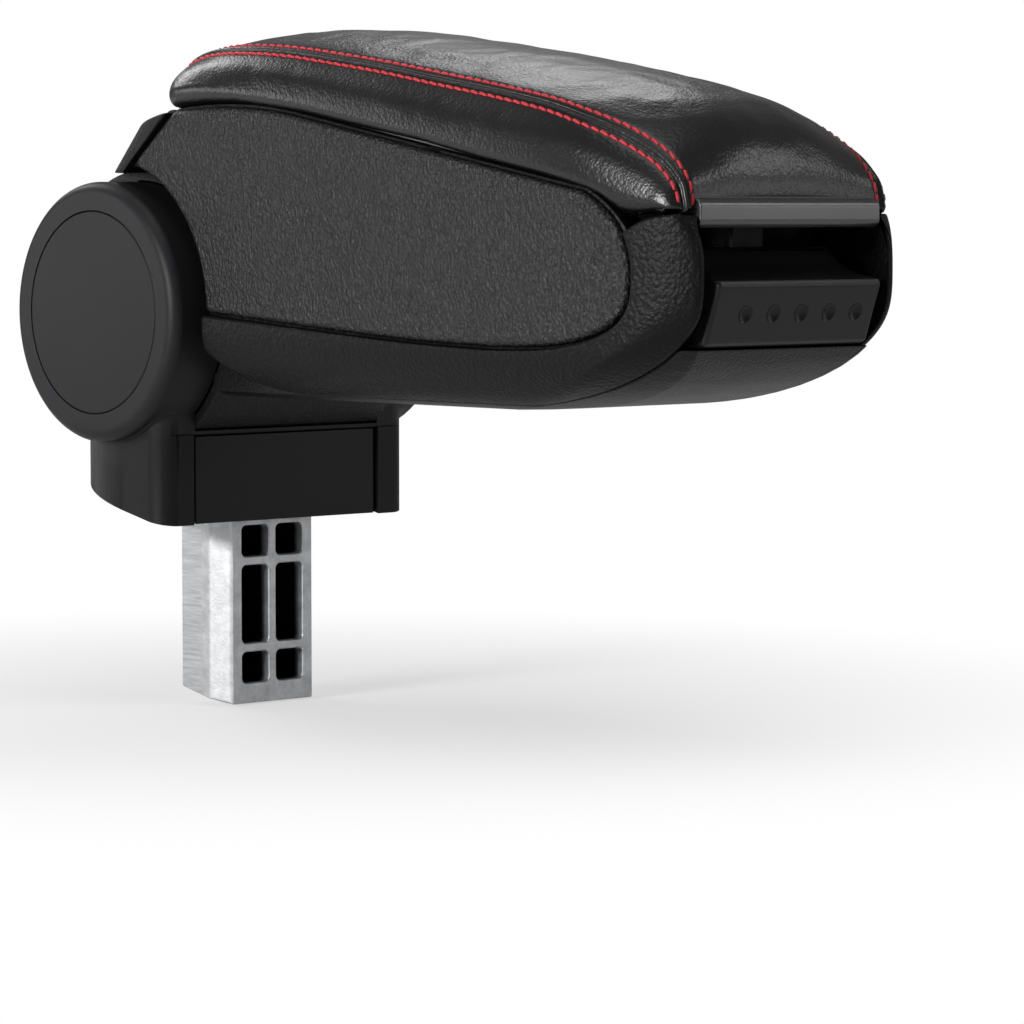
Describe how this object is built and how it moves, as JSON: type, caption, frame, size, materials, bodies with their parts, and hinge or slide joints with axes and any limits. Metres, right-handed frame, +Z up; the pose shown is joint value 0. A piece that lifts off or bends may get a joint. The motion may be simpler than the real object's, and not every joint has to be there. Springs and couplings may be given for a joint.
{
  "type": "car centre armrest",
  "caption": "Folding car armrest with a padded lid over a storage tub, a press latch, a fork hinge and a cast mounting stem.",
  "frame": {"origin": "on the sloping underside of the collar, on the centre line of the stem", "axes": "+X forward along the arm to its latch, +Y to the arm's left side, +Z up along the stem"},
  "size_m": [0.2938, 0.1142, 0.2131],
  "materials": {
    "smooth_plastic": "smooth moulded black plastic with a low sheen",
    "satin_plastic": "satin charcoal moulded plastic",
    "grained_plastic": "charcoal moulded plastic with a fine leather grain",
    "pebbled_plastic": "charcoal moulded plastic with a coarse pebbled grain",
    "leather": "black grained leatherette with red twin stitching",
    "mat_rubber": "black moulded rubber",
    "bush_plastic": "natural bearing plastic",
    "cast_aluminium": "die-cast aluminium with milled faces",
    "steel": "zinc-plated steel",
    "dark_steel": "black-coated pressed steel"
  },
  "bodies": {
    "base": {"hinge_fork": "smooth_plastic", "front_plate": "smooth_plastic", "stem": "cast_aluminium", "stem_screws": "steel", "hinge_axle": "steel", "axle_nut": "steel", "bush_right": "bush_plastic", "bush_left": "bush_plastic", "stop_pegs": "steel", "cap_right": "satin_plastic", "cap_left": "satin_plastic"},
    "arm": {"tub": "grained_plastic", "tub_mat": "mat_rubber", "side_shell_right": "grained_plastic", "side_shell_left": "grained_plastic", "side_panel_right": "pebbled_plastic", "side_panel_left": "pebbled_plastic", "rear_cover": "grained_plastic", "shell_screws": "steel", "lid_pin": "steel", "latch_springs": "steel", "lid_bumpers": "mat_rubber"},
    "lid": {"lid_plate": "satin_plastic", "lid_pad": "leather", "striker": "dark_steel", "striker_screws": "steel"},
    "latch": {"latch_button": "satin_plastic"}
  },
  "joints": [
    {"name": "arm_swing", "type": "hinge", "parent": "base", "child": "arm", "pos_m": [-0.008, 0, 0.062], "axis": [0, -1, 0], "range_deg": [0, 90]},
    {"name": "lid_hinge", "type": "hinge", "parent": "arm", "child": "lid", "pos_m": [0.0075, 0, 0.1205], "axis": [0, -1, 0], "range_deg": [0, 80]},
    {"name": "latch_press", "type": "slide", "parent": "arm", "child": "latch", "axis": [-1, 0, 0], "range_m": [0, 0.003], "stiffness_N_per_m": 300, "deforming": ["latch_springs"]}
  ]
}
